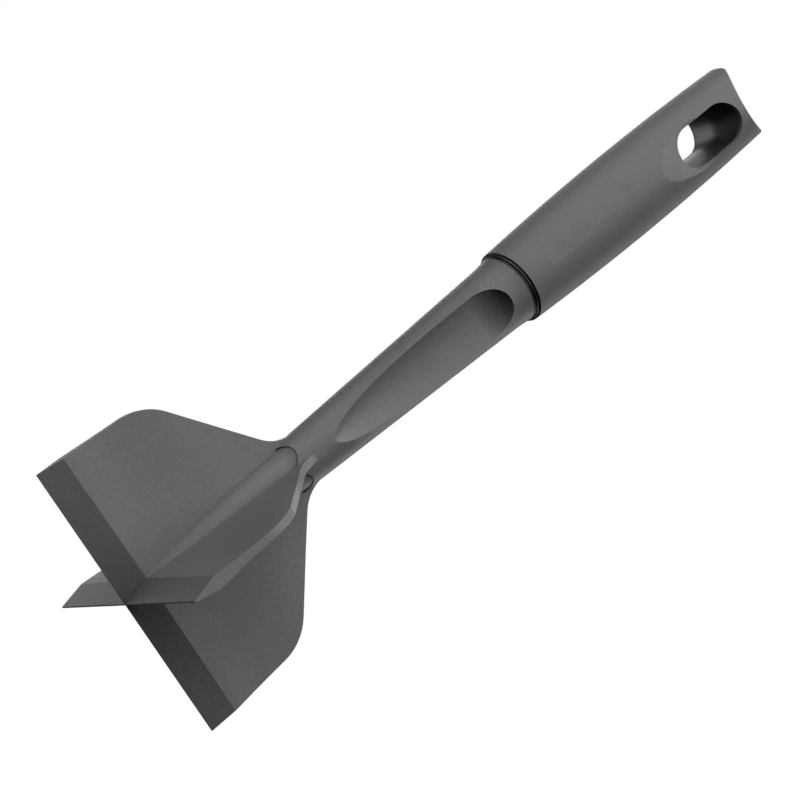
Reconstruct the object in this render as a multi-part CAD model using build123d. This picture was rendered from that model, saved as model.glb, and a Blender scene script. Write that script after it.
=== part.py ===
"""Four-bladed ground-meat chopper: moulded nylon blade head, joint ring, black handle core and grip sleeve.

Frame: the origin is the centre of the cutting-edge plane, +Z runs up the handle, the main blade lies
along X and the cross blade along Y. All sizes are in millimetres.
"""

from build123d import *
import math
import os

# Blade head
BLADE_SPAN = 92.0  # across the cutting edge of either blade
EDGE_LAND = 0.5  # flat width of the cutting edge
BEVEL_HEIGHT = 8.8  # where the bevel meets the blade face
SIDE_TAPER = 0.062  # each side leans in by this much per millimetre of height
SHOULDER_Z = 38.8  # height where the side turns into the sloping shoulder
SHOULDER_SLOPE = 0.83  # rise over run of the shoulder
SHOULDER_RADIUS = 18.0
ROOT_RADIUS = 14.0  # concave fillet from the shoulder into the stem
BLADE_TOP_Z = 78.0  # where a blade ends, inside the stem and below its recess
RIM_HALF_THICKNESS = 1.25  # blade half thickness at its free outline
BEVEL_SIDE_SWELL = 0.85  # extra half thickness at the outline, at the bevel only
SWELL_FADE = 8.5  # height over which that swelling fades
# (height, blade half thickness on the axis)
ROOT_THICKNESS = (
    (8.8, 3.18),
    (16.0, 2.85),
    (26.0, 2.62),
    (38.0, 2.4),
    (50.0, 2.15),
    (60.0, 1.85),
    (70.0, 1.5),
    (80.0, 1.35),
)

# Core between the blades: (radius, height) up its side, then a cove out to the stem
CORE_PROFILE = ((4.5, 8.8), (5.8, 18.8), (6.9, 32.9), (7.4, 48.0), (7.5, 64.0))
COVE_TOP_Z = 70.0
COVE_TILT = 13.0  # degrees that the cove leans out at its top
# Four round-nosed pockets that open the stem's lower end down to the core
POCKET_TOP_Z = 69.3
POCKET_HALF_WIDTH = 5.0

# Stem
STEM_BASE_RADIUS = 5.89  # radius of the stem's cone if it ran down to z = 0
STEM_FLARE = 0.0339  # radius gained per millimetre of height
STEM_BOTTOM_Z = 60.0  # where it starts, inside the blades
STEM_TOP_Z = 165.2
STEM_LIP = 0.3  # the stem swells by this much in its last millimetres

# Recess in the front and in the back of the stem: (half width, height) of the cutter,
# whose opening is narrower
RECESS_PROFILE = (
    (1.0, 80.0),
    (3.8, 84.5),
    (5.7, 89.5),
    (7.2, 95.5),
    (8.5, 102.5),
    (9.4, 110.0),
    (10.0, 118.5),
    (10.35, 127.5),
    (10.5, 137.0),
    (10.5, 146.0),
)
RECESS_END_HEIGHT = 12.2  # of the cutter's rounded upper end
RECESS_FLATTENING = 0.6  # the cutter's depth over its half width
RECESS_OFFSET = 1.2  # how far the cutter's middle line lies in front of the stem

# Tang, hidden in the handle
TANG_WIDTH = 13.0
TANG_THICKNESS = 7.0
TANG_CORNER_RADIUS = 1.5
TANG_TOP_Z = 226.0
TANG_HOLE_RADIUS = 2.6
TANG_HOLE_HEIGHTS = (184.0, 205.0)
SPIGOT_RADIUS = 8.0  # round shoulder that the joint ring sits on

# Joint ring
RING_HEIGHT = 1.8
RING_RADIUS = 12.3
RING_GROOVE = 0.35

# Handle
# (radius, height) up the grip's side
GRIP_PROFILE = (
    (12.9, 167.0),
    (13.8, 188.0),
    (14.45, 216.0),
    (14.5, 238.0),
    (14.1, 262.0),
    (13.5, 279.0),
)
END_Z = 282.6
END_ROUND = 3.4
END_LIP_ROUND = 2.6  # rounding between the hollow and the flat top
END_CREST_ROUND = 0.6  # rounding of the edge all round the hollow
END_VALLEY_Z = 272.8
END_VALLEY_RADIUS = 12.7
SLEEVE_WALL = 3.2
CORE_END_Z = 270.6

# Hanging slot, through the handle along Y
SLOT_HALF_WIDTH = 7.5
SLOT_LOW_Z = 240.4
SLOT_HIGH_Z = 269.4
SLOT_DRAFT = 7.0  # degrees; the slot narrows towards the middle of the handle
SLOT_LINER = 1.7  # wall of black core around the slot
LINER_SETBACK = 1.3  # how far the liner stops under the sleeve's surface

# Thumb scoop at the lower end of the slot
SCOOP_LOW_Z = 230.0
SCOOP_DEEP_Z = 252.5
SCOOP_HIGH_Z = 264.0
SCOOP_DEPTH = 2.5


def stem_radius(z):
    return STEM_BASE_RADIUS + STEM_FLARE * z


def outline_half_width(z):
    """Half width of a blade at height z, before its corners are rounded."""
    side = BLADE_SPAN / 2 - SIDE_TAPER * z
    corner = BLADE_SPAN / 2 - SIDE_TAPER * SHOULDER_Z
    shoulder = corner - (z - SHOULDER_Z) / SHOULDER_SLOPE
    return side if z <= SHOULDER_Z else max(shoulder, 10.0)


def blade_section(z, root, margin=3.0):
    """Six-sided cross-section of a blade at height z: root thick on the axis, thin at its outline."""
    rim = RIM_HALF_THICKNESS + BEVEL_SIDE_SWELL * math.exp(-(((z - BEVEL_HEIGHT) / SWELL_FADE) ** 2))
    width = outline_half_width(z)
    reach = width + margin
    edge = root - (root - rim) * reach / width
    return hexagon(z, reach, edge, root)


def hexagon(z, reach, edge, root):
    corners = [(-reach, -edge), (0, -root), (reach, -edge), (reach, edge), (0, root), (-reach, edge)]
    return make_face(Polyline(*[(x, y, z) for x, y in corners], close=True))


def blade_outline():
    """Outline of a blade in the XZ plane, running up inside the stem."""
    top = BLADE_TOP_Z
    inset = 0.25
    shoulder_x = BLADE_SPAN / 2 - SIDE_TAPER * SHOULDER_Z
    # the shoulder line meets the stem's side line where both give the same x
    shoulder_start = shoulder_x + SHOULDER_Z / SHOULDER_SLOPE
    root_z = (shoulder_start - STEM_BASE_RADIUS + inset) / (STEM_FLARE + 1 / SHOULDER_SLOPE)
    right = [
        (BLADE_SPAN / 2, 0),
        (shoulder_x, SHOULDER_Z),
        (stem_radius(root_z) - inset, root_z),
        (stem_radius(top) - inset, top),
    ]
    left = [(-x, z) for x, z in reversed(right)]
    sketch = make_face(Polyline(*right, *left, close=True))
    shoulders = [v for v in sketch.vertices() if abs(v.Y - SHOULDER_Z) < 1e-6]
    sketch = fillet(shoulders, SHOULDER_RADIUS)
    roots = [v for v in sketch.vertices() if abs(v.Y - root_z) < 1e-6]
    return fillet(roots, ROOT_RADIUS)


def blade():
    """One full-width blade in the XZ plane: bevel, tapered body and rounded outline."""
    half = BLADE_SPAN / 2 + 3.0
    sections = [blade_section(z, root) for z, root in ROOT_THICKNESS]
    bevel = loft([hexagon(0, half, EDGE_LAND / 2, EDGE_LAND / 2), sections[0]], ruled=True)
    body = loft(sections)
    prism = extrude(Plane.XZ * blade_outline(), amount=10, both=True)
    return (bevel + body) & prism


def core():
    """Bullet-shaped core between the blades, coving out into the stem at its top."""
    bottom_r, bottom_z = CORE_PROFILE[0]
    top_r, top_z = CORE_PROFILE[-1]
    lean = (COVE_TOP_Z - top_z) * math.tan(math.radians(COVE_TILT / 2))
    side = Spline(*CORE_PROFILE)
    cove = JernArc((top_r, top_z), (0, 1), lean / (1 - math.cos(math.radians(COVE_TILT))), -COVE_TILT)
    closing = Polyline(cove @ 1, (0, (cove @ 1).Y), (0, bottom_z), (bottom_r, bottom_z))
    return revolve(Plane.XZ * make_face(side + cove + closing), Axis.Z)


def pockets():
    """Round-nosed prisms that cut the stem's lower end back to the core, one in each quadrant."""
    straight = make_face(
        Plane.XZ
        * Polyline(
            (-POCKET_HALF_WIDTH, 40),
            (POCKET_HALF_WIDTH, 40),
            (POCKET_HALF_WIDTH, POCKET_TOP_Z - POCKET_HALF_WIDTH),
            (-POCKET_HALF_WIDTH, POCKET_TOP_Z - POCKET_HALF_WIDTH),
            close=True,
        )
    )
    nose_centre = (0, 0, POCKET_TOP_Z - POCKET_HALF_WIDTH)
    nose_plane = Plane(origin=nose_centre, x_dir=(1, 0, 0), z_dir=(0, -1, 0))
    slot = extrude(straight, amount=20) + extrude(nose_plane * Circle(POCKET_HALF_WIDTH), amount=20)
    return [Rot(Z=angle) * slot for angle in (45, 135, 225, 315)]


def stem():
    """Conical stem, open below in four pockets, with a slight swell where it meets the ring."""
    profile = make_face(
        Polyline(
            (0, STEM_BOTTOM_Z),
            (stem_radius(STEM_BOTTOM_Z), STEM_BOTTOM_Z),
            (stem_radius(STEM_TOP_Z - 5), STEM_TOP_Z - 5),
            (stem_radius(STEM_TOP_Z) + STEM_LIP, STEM_TOP_Z),
            (0, STEM_TOP_Z),
            close=True,
        )
    )
    body = revolve(Plane.XZ * profile, Axis.Z)
    for pocket in pockets():
        body -= pocket
    return body


def recess_cutters():
    """Boat-shaped cutter in two parts: ellipses that widen up the stem, and a rounded upper end."""

    def ellipse(half_width, z):
        middle = Plane(origin=(0, -stem_radius(z) - RECESS_OFFSET, z), x_dir=(1, 0, 0), z_dir=(0, 0, 1))
        return middle * Ellipse(half_width, half_width * RECESS_FLATTENING)

    hull = loft([ellipse(*station) for station in RECESS_PROFILE])
    half_width, z = RECESS_PROFILE[-1]
    end = scale(Sphere(1), by=(half_width, half_width * RECESS_FLATTENING, RECESS_END_HEIGHT))
    return [hull, Pos(0, -stem_radius(z) - RECESS_OFFSET, z) * end]


def tang():
    """Spigot for the ring and flat tang with two holes that lock it in the handle core."""
    spigot = Pos(0, 0, STEM_TOP_Z) * extrude(Circle(SPIGOT_RADIUS), amount=RING_HEIGHT)
    height = TANG_TOP_Z - STEM_TOP_Z
    section = RectangleRounded(TANG_WIDTH, TANG_THICKNESS, TANG_CORNER_RADIUS)
    blade_tang = Pos(0, 0, STEM_TOP_Z) * extrude(section, amount=height)
    for z in TANG_HOLE_HEIGHTS:
        hole_plane = Plane(origin=(0, -TANG_THICKNESS, z), x_dir=(1, 0, 0), z_dir=(0, 1, 0))
        hole = hole_plane * Circle(TANG_HOLE_RADIUS)
        blade_tang -= extrude(hole, amount=2 * TANG_THICKNESS)
    return spigot + blade_tang


def blade_head():
    """The whole nylon moulding: two crossed blades, core, stem and tang."""
    shaft = stem() + core()
    for cutter in recess_cutters():
        shaft -= cutter
        shaft -= Rot(Z=180) * cutter
    head = shaft + tang()
    head += blade()
    return head + Rot(Z=90) * blade()


def joint_ring():
    """Flexible ring between stem and handle, with a fine groove near the stem."""
    z = STEM_TOP_Z
    rim = stem_radius(z) + STEM_LIP
    profile = Polyline(
        (SPIGOT_RADIUS, z),
        (rim, z),
        (rim + 0.2, z + 0.15),
        (rim + 0.2, z + 0.45),
        (rim - RING_GROOVE, z + 0.55),
        (rim - RING_GROOVE, z + 0.75),
        (RING_RADIUS, z + 0.85),
        (RING_RADIUS, z + RING_HEIGHT),
        (SPIGOT_RADIUS, z + RING_HEIGHT),
        close=True,
    )
    return revolve(Plane.XZ * make_face(profile), Axis.Z)


def grip_blank(inset=0.0, top=END_Z):
    """Solid of the handle's outer shape, drawn in by inset and closed at the height top."""
    start = (GRIP_PROFILE[0][0] - inset, STEM_TOP_Z + RING_HEIGHT)
    side = Spline(start, *[(r - inset, z) for r, z in GRIP_PROFILE[1:]])
    last_r, last_z = GRIP_PROFILE[-1][0] - inset, GRIP_PROFILE[-1][1]
    if inset:
        cap = Polyline((last_r, last_z), (last_r, top), (0, top), (0, start[1]), start)
    else:
        round_end = RadiusArc((last_r, last_z), (last_r - END_ROUND, top), -END_ROUND)
        cap = round_end + Polyline((last_r - END_ROUND, top), (0, top), (0, start[1]), start)
    return revolve(Plane.XZ * make_face(side + cap), Axis.Z)


def end_groove(drop=0.0):
    """Cutter for the hollow in the handle's end, running along Y with rounded lips, lowered by drop."""
    hollow = Pos(0, END_VALLEY_Z + END_VALLEY_RADIUS) * Circle(END_VALLEY_RADIUS)
    above = Pos(0, END_Z + 20) * Rectangle(80, 40)
    profile = hollow + above
    lips = [v for v in profile.vertices() if abs(v.Y - END_Z) < 1e-6 and abs(v.X) < END_VALLEY_RADIUS]
    profile = fillet(lips, END_LIP_ROUND)
    return Pos(0, 0, -drop) * extrude(Plane.XZ * profile, amount=40, both=True)


def slot_face(y, grow=0.0):
    """Outline of the hanging slot in the plane at depth y, widened by grow."""
    narrowing = math.tan(math.radians(SLOT_DRAFT)) * (GRIP_PROFILE[-2][0] - abs(y))
    radius = SLOT_HALF_WIDTH - narrowing + grow
    low = SLOT_LOW_Z + SLOT_HALF_WIDTH
    high = SLOT_HIGH_Z - SLOT_HALF_WIDTH
    plane = Plane(origin=(0, y, (low + high) / 2), x_dir=(0, 0, 1), z_dir=(0, 1, 0))
    return plane * SlotCenterToCenter(high - low, 2 * radius)


def slot_cutter(grow=0.0):
    """The slot as a solid that narrows from both faces of the handle to its middle."""
    reach = 20.0
    front = loft([slot_face(-reach, grow), slot_face(0, grow)])
    back = loft([slot_face(0, grow), slot_face(reach, grow)])
    return front + back


def scoop_cutter(sink=0.0):
    """Shallow thumb scoop, cut across the front of the handle and sunk deeper by sink."""
    surface = -GRIP_PROFILE[3][0]
    deep = surface + SCOOP_DEPTH + sink
    low = (surface + sink, SCOOP_LOW_Z)
    high = (surface + sink - 0.4, SCOOP_HIGH_Z)
    floor = Spline(low, (deep, SCOOP_DEEP_Z), high, tangents=((0.16, 1), (-0.35, 1)))
    back = Polyline(high, (-30, SCOOP_HIGH_Z), (-30, SCOOP_LOW_Z), low)
    return extrude(Plane.YZ * make_face(floor + back), amount=20, both=True)


def handle_blank(inset, top):
    """Outer shape with both thumb scoops and the hollow end, drawn in by inset."""
    body = grip_blank(inset, top)
    scoop = scoop_cutter(inset)
    body -= scoop
    body -= Rot(Z=180) * scoop
    return body - end_groove(inset)


def core_blank():
    """Handle core before the tang and the slot are taken out of it."""
    inner = handle_blank(SLEEVE_WALL, CORE_END_Z)
    liner = slot_cutter(SLOT_LINER) & handle_blank(LINER_SETBACK, CORE_END_Z)
    return inner + liner


def handle_core():
    return core_blank() - tang() - slot_cutter()


def grip_sleeve():
    shell = handle_blank(0, END_Z)
    crest = [edge for edge in shell.edges() if edge.center().Z > END_VALLEY_Z - 2]
    shell = fillet(crest, END_CREST_ROUND)
    return shell - core_blank() - slot_cutter()


def main():
    os.makedirs("parts", exist_ok=True)
    pieces = {
        "blade_head": blade_head(),
        "joint_ring": joint_ring(),
        "handle_core": handle_core(),
        "grip_sleeve": grip_sleeve(),
    }
    for name, shape in pieces.items():
        solids = shape.solids()
        export_step(solids[0] if len(solids) == 1 else Compound(solids), f"parts/{name}.step")
        print(name, "solids", len(solids), "volume", round(shape.volume))


main()
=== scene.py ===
"""Looks for the four-bladed chopper: camera, soft studio lamps, floor and moulded-plastic surfaces."""

import math

import bmesh
import bpy
from mathutils import Matrix, Vector


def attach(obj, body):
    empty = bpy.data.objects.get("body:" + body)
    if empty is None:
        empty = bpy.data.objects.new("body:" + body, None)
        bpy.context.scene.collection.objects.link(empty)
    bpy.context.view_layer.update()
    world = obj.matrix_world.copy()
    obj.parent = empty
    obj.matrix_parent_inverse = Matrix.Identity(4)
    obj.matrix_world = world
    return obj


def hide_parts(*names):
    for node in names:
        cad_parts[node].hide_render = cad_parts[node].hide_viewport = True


# Camera, in metres; it looks up at the tool from below its cutting edges
CAMERA_PLACE = (-0.181, -0.701, -0.261)
CAMERA_AIM = (0, -0.02, 0.101)
CAMERA_ROLL = 50.3  # degrees, anticlockwise
CAMERA_LENS = 119.1  # millimetres
CAMERA_SENSOR = 36.0
CAMERA_NEAR = 0.01

# Soft studio lamps: name, azimuth and elevation of the lamp in degrees, strength
LAMPS = (
    ("key", -90, 55, 0.75),
    ("left", -170, 40, 0.4),
    ("back", 85, 40, 0.5),
    ("right", 20, 20, 0.3),
    ("low back", 105, -10, 0.35),
    ("left front", -135, 15, 0.3),
)
LAMP_SPREAD = 45.0  # degrees
BACKDROP_GLOW = 0.02  # what the white backdrop adds to the light on the tool

# Floor, in metres
FLOOR_SIZE = 3.0
FLOOR_DROP = 0.0002  # how far it lies under the cutting edges
FLOOR_GREY = 0.85
FLOOR_ROUGHNESS = 0.8

# The bevels end at this height, in metres; they have a smoother surface, and their darker grey is partly
# their own and partly painted shade on bevels that face down, away from the lamps
BEVEL_TOP = 0.0088
BEVEL_TOLERANCE = 1e-5

# Skin of each piece
CREASE_DEGREES = 24.0  # edges that turn by more than this stay crisp
WELD = 2e-6  # metres within which the CAD faces' corners are joined

# Moulded plastics: sizes in metres
MOTTLE_SIZE = 0.02
SPECKLE_OVER_GRAIN = 1.6
ROUGHNESS_SWING = 0.05
SPECULAR_LEVEL = 0.45
NYLON = {"dark": (0.105, 0.105, 0.1), "light": (0.145, 0.145, 0.14), "roughness": 0.55}
NYLON_GRAIN = {"grain_size": 0.0006, "grain_height": 0.00006}
# Bevel grey: darker than the nylon, partly a smoother finish and partly painted shade on the down-facing
# bevels
BEVEL_AND_PAINTED_SHADE = {"dark": (0.05, 0.05, 0.048), "light": (0.062, 0.062, 0.06), "roughness": 0.5}
BEVEL_GRAIN = {"grain_size": 0.0006, "grain_height": 0.00002}
GRIP = {"dark": (0.11, 0.11, 0.105), "light": (0.15, 0.15, 0.145), "roughness": 0.6}
GRIP_GRAIN = {"grain_size": 0.0005, "grain_height": 0.00005}
# Core black: the slot's walls are this black core plastic, and its near-black also stands in as painted
# shade for the slot's deep shadow
CORE_AND_PAINTED_SHADE = {"dark": (0.012, 0.012, 0.013), "light": (0.02, 0.02, 0.022), "roughness": 0.5}
CORE_GRAIN = {"grain_size": 0.0008, "grain_height": 0.00002}
RING = {"dark": (0.008, 0.008, 0.009), "light": (0.015, 0.015, 0.016), "roughness": 0.45}
RING_GRAIN = {"grain_size": 0.0004, "grain_height": 0.00001}

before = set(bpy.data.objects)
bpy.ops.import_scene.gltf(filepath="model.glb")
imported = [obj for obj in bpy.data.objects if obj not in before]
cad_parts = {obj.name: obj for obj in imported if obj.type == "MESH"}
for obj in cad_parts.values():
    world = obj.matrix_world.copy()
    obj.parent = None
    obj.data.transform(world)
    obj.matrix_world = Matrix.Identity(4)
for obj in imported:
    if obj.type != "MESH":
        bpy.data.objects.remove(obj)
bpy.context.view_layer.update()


def add_camera():
    data = bpy.data.cameras.new("camera")
    data.lens = CAMERA_LENS
    data.sensor_width = CAMERA_SENSOR
    data.clip_start = CAMERA_NEAR
    camera = bpy.data.objects.new("camera", data)
    bpy.context.scene.collection.objects.link(camera)
    look = Vector(CAMERA_AIM) - Vector(CAMERA_PLACE)
    level = look.to_track_quat("-Z", "Y").to_matrix().to_4x4()
    roll = Matrix.Rotation(math.radians(CAMERA_ROLL), 4, "Z")
    camera.matrix_world = Matrix.Translation(CAMERA_PLACE) @ level @ roll
    bpy.context.scene.camera = camera


def direction(azimuth, elevation):
    """Unit vector at these angles in degrees, azimuth from +X towards +Y and elevation up from level."""
    turn = Matrix.Rotation(math.radians(azimuth), 3, "Z")
    tilt = Matrix.Rotation(-math.radians(elevation), 3, "Y")
    return turn @ tilt @ Vector((1, 0, 0))


def add_lamps():
    for name, azimuth, elevation, strength in LAMPS:
        data = bpy.data.lights.new(name, "SUN")
        data.angle = math.radians(LAMP_SPREAD)
        data.energy = strength * math.pi
        lamp = bpy.data.objects.new(name, data)
        bpy.context.scene.collection.objects.link(lamp)
        lamp.rotation_euler = direction(azimuth, elevation).to_track_quat("Z", "Y").to_euler()


def add_backdrop():
    """Pure white where the camera sees past the tool, and nearly dark to everything else."""
    world = bpy.data.worlds.new("studio")
    bpy.context.scene.world = world
    world.use_nodes = True
    nodes, links = world.node_tree.nodes, world.node_tree.links
    white = nodes["Background"]
    white.inputs["Color"].default_value = (1, 1, 1, 1)
    dim = nodes.new("ShaderNodeBackground")
    dim.inputs["Strength"].default_value = BACKDROP_GLOW
    ray = nodes.new("ShaderNodeLightPath")
    mix = nodes.new("ShaderNodeMixShader")
    links.new(ray.outputs["Is Camera Ray"], mix.inputs[0])
    links.new(dim.outputs[0], mix.inputs[1])
    links.new(white.outputs[0], mix.inputs[2])
    links.new(mix.outputs[0], nodes["World Output"].inputs["Surface"])


def floor_surface():
    """Pale from above and clear from below, so that a camera under the floor looks past it."""
    material = bpy.data.materials.new("floor_white")
    material.use_nodes = True
    nodes, links = material.node_tree.nodes, material.node_tree.links
    surface = nodes["Principled BSDF"]
    surface.inputs["Base Color"].default_value = (FLOOR_GREY, FLOOR_GREY, FLOOR_GREY, 1)
    surface.inputs["Roughness"].default_value = FLOOR_ROUGHNESS
    side = nodes.new("ShaderNodeNewGeometry")
    clear = nodes.new("ShaderNodeBsdfTransparent")
    mix = nodes.new("ShaderNodeMixShader")
    links.new(side.outputs["Backfacing"], mix.inputs[0])
    links.new(surface.outputs[0], mix.inputs[1])
    links.new(clear.outputs[0], mix.inputs[2])
    links.new(mix.outputs[0], nodes["Material Output"].inputs["Surface"])
    return material


def add_floor():
    """Floor that takes the tool's shadow but neither lights nor shades the tool."""
    bpy.ops.mesh.primitive_plane_add(size=FLOOR_SIZE, location=(0, 0, -FLOOR_DROP))
    floor = bpy.context.object
    floor.name = "floor"
    floor.visible_shadow = False
    floor.visible_diffuse = False
    floor.visible_glossy = False
    floor.data.materials.append(floor_surface())


def noise(tree, size, detail, roughness=0.55):
    """Noise with features of this size, in the object's own coordinates."""
    place = tree.nodes.new("ShaderNodeTexCoord")
    node = tree.nodes.new("ShaderNodeTexNoise")
    node.inputs["Scale"].default_value = 1 / size
    node.inputs["Detail"].default_value = detail
    node.inputs["Roughness"].default_value = roughness
    tree.links.new(place.outputs["Object"], node.inputs["Vector"])
    return node.outputs["Fac"]


def spread(tree, value, low, high, out_low=0, out_high=1):
    """Maps low..high of a value to out_low..out_high."""
    node = tree.nodes.new("ShaderNodeMapRange")
    node.inputs["From Min"].default_value = low
    node.inputs["From Max"].default_value = high
    node.inputs["To Min"].default_value = out_low
    node.inputs["To Max"].default_value = out_high
    tree.links.new(value, node.inputs["Value"])
    return node.outputs["Result"]


def moulded(name, dark, light, roughness, grain_size, grain_height):
    """Moulded plastic: speckle that comes and goes with slow mottling, and grain in bump and gloss."""
    material = bpy.data.materials.new(name)
    material.use_nodes = True
    tree = material.node_tree
    surface = tree.nodes["Principled BSDF"]
    surface.inputs["Specular IOR Level"].default_value = SPECULAR_LEVEL

    mottle = noise(tree, MOTTLE_SIZE, 3)
    speckle = noise(tree, grain_size * SPECKLE_OVER_GRAIN, 2)
    blend = tree.nodes.new("ShaderNodeMix")
    blend.inputs[2].default_value = 0.5
    tree.links.new(spread(tree, mottle, 0.3, 0.7), blend.inputs[0])
    tree.links.new(spread(tree, speckle, 0.3, 0.7), blend.inputs[3])
    tint = tree.nodes.new("ShaderNodeMix")
    tint.data_type = "RGBA"
    tint.inputs[6].default_value = (*dark, 1)
    tint.inputs[7].default_value = (*light, 1)
    tree.links.new(blend.outputs[0], tint.inputs[0])
    tree.links.new(tint.outputs[2], surface.inputs["Base Color"])

    grain = noise(tree, grain_size, 2, 0.6)
    gloss = spread(tree, grain, 0.25, 0.75, roughness - ROUGHNESS_SWING, roughness + ROUGHNESS_SWING)
    tree.links.new(gloss, surface.inputs["Roughness"])
    bump = tree.nodes.new("ShaderNodeBump")
    bump.inputs["Distance"].default_value = grain_height
    tree.links.new(grain, bump.inputs["Height"])
    tree.links.new(bump.outputs["Normal"], surface.inputs["Normal"])
    return material


def smooth_mesh(mesh):
    """Joins the CAD faces, smooths all but the crisp edges, and puts the bevels in the second material,
    whose darker grey is partly painted shade.
    """
    shape = bmesh.new()
    shape.from_mesh(mesh)
    bmesh.ops.remove_doubles(shape, verts=shape.verts, dist=WELD)
    limit = math.radians(CREASE_DEGREES)
    for edge in shape.edges:
        on_bevel = all(abs(vert.co.z - BEVEL_TOP) < BEVEL_TOLERANCE for vert in edge.verts)
        edge.smooth = edge.calc_face_angle(0) < limit and not on_bevel
    for face in shape.faces:
        face.smooth = True
        # faces under the bevel top take the bevel grey, which is partly painted shade
        face.material_index = 1 if face.calc_center_median().z < BEVEL_TOP else 0
    shape.to_mesh(mesh)
    shape.free()
    if "custom_normal" in mesh.attributes:
        mesh.attributes.remove(mesh.attributes["custom_normal"])


def add_skin(node, slot, *materials):
    """Puts a smoothed copy of a CAD node's mesh, with these materials, in the node's place."""
    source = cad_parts[node]
    piece = bpy.data.objects.new(node + "_skin", source.data.copy())
    bpy.context.scene.collection.objects.link(piece)
    piece.matrix_world = source.matrix_world.copy()
    smooth_mesh(piece.data)
    weighted = piece.modifiers.new("normals", "WEIGHTED_NORMAL")
    weighted.keep_sharp = True
    piece.data.materials.clear()
    for material in materials:
        piece.data.materials.append(material)
    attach(piece, "root")
    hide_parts(node)


bpy.context.scene.view_settings.view_transform = "Standard"
add_camera()
add_lamps()
add_backdrop()
add_floor()
nylon = moulded("nylon_grey", **NYLON, **NYLON_GRAIN)
# bevel grey: partly its own finish, partly painted shade on the down-facing bevels
bevel_painted_shade = moulded("bevel_grey_and_painted_shade", **BEVEL_AND_PAINTED_SHADE, **BEVEL_GRAIN)
grip = moulded("grip_grey", **GRIP, **GRIP_GRAIN)
# core black lines the slot: partly its own colour, partly painted shade inside the slot
core_and_painted_shade = moulded("core_black", **CORE_AND_PAINTED_SHADE, **CORE_GRAIN)
ring = moulded("ring_black", **RING, **RING_GRAIN)
add_skin("blade_head", "nylon", nylon, bevel_painted_shade)
add_skin("joint_ring", "ring_black", ring)
add_skin("handle_core", "core_black", core_and_painted_shade)
add_skin("grip_sleeve", "grip_grey", grip)
